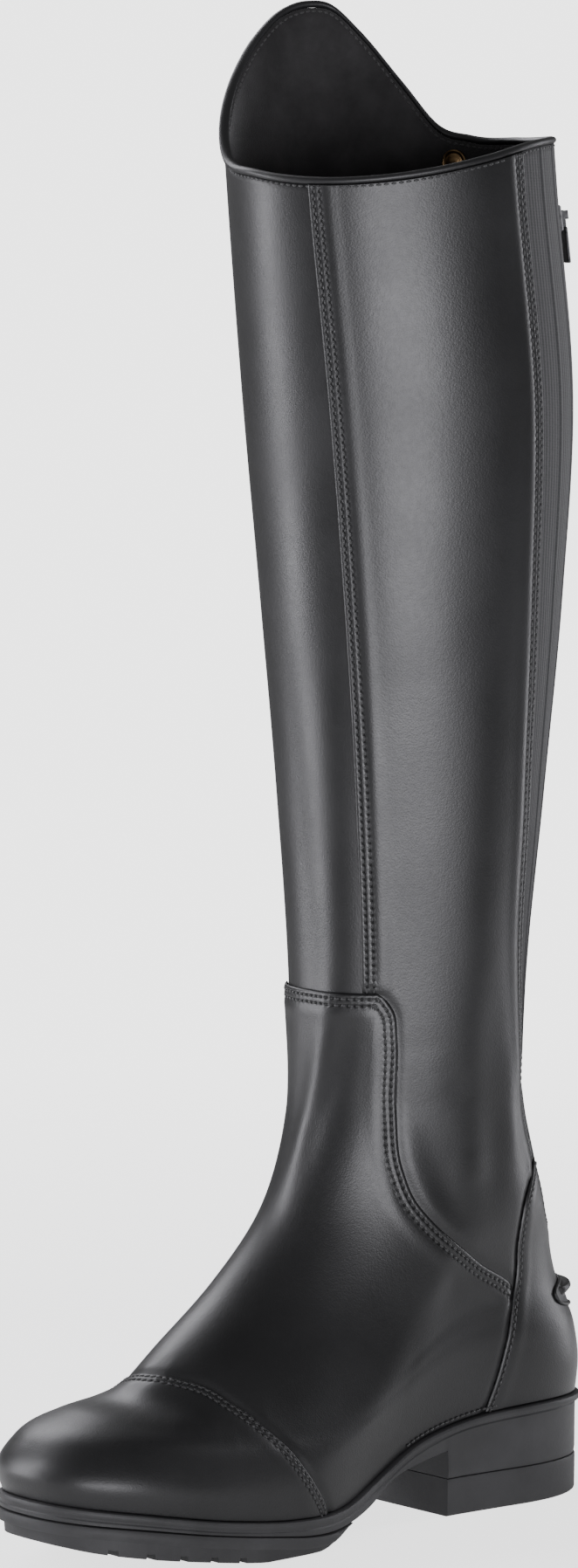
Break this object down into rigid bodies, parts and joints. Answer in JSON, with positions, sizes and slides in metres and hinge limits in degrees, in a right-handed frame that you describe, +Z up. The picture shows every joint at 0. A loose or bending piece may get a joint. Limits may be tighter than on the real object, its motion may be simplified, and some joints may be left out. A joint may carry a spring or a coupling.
{
  "type": "riding boot",
  "caption": "Tall black dressage-style riding boot for the right foot, with a rear zip, an elastic gusset, a spur rest and a low rubber heel.",
  "frame": {"origin": "Centre of the bounding box in X and Y, at floor level in Z.", "axes": "+Z up along the shaft, -Y towards the toe, +X towards the inner side of the right foot."},
  "size_m": [0.117, 0.2542, 0.5462],
  "materials": {
    "lining": "matte",
    "shaft_leather": "semi-gloss",
    "foot_leather": "semi-gloss",
    "trim_leather": "satin",
    "elastic": "matte",
    "zip_teeth": "satin",
    "zip_metal": "satin",
    "stud_metal": "satin",
    "sole_rubber": "matte",
    "insole_fabric": "matte"
  },
  "bodies": {
    "boot": {"upper": "lining", "vamp": "foot_leather", "toe_cap": "foot_leather", "heel_counter": "foot_leather", "shaft_panel_inner": "shaft_leather", "shaft_panel_outer": "shaft_leather", "elastic_gusset": "elastic", "zip_facing_inner": "trim_leather", "zip_facing_outer": "trim_leather", "zip_chain": "zip_teeth", "zip_slider": "zip_metal", "press_stud": "stud_metal", "spur_rest": "trim_leather", "collar_binding": "trim_leather", "sole_unit": "sole_rubber", "outsole": "sole_rubber", "heel_lift": "sole_rubber", "insole": "insole_fabric"},
    "pull": {"zip_pull": "zip_metal"}
  },
  "joints": [
    {"name": "pull_hinge", "type": "hinge", "parent": "boot", "child": "pull", "pos_m": [0.02379, 0.11109, 0.46763], "axis": [0.9284, -0.3715, 0.0091], "range_deg": [0, 150]}
  ]
}
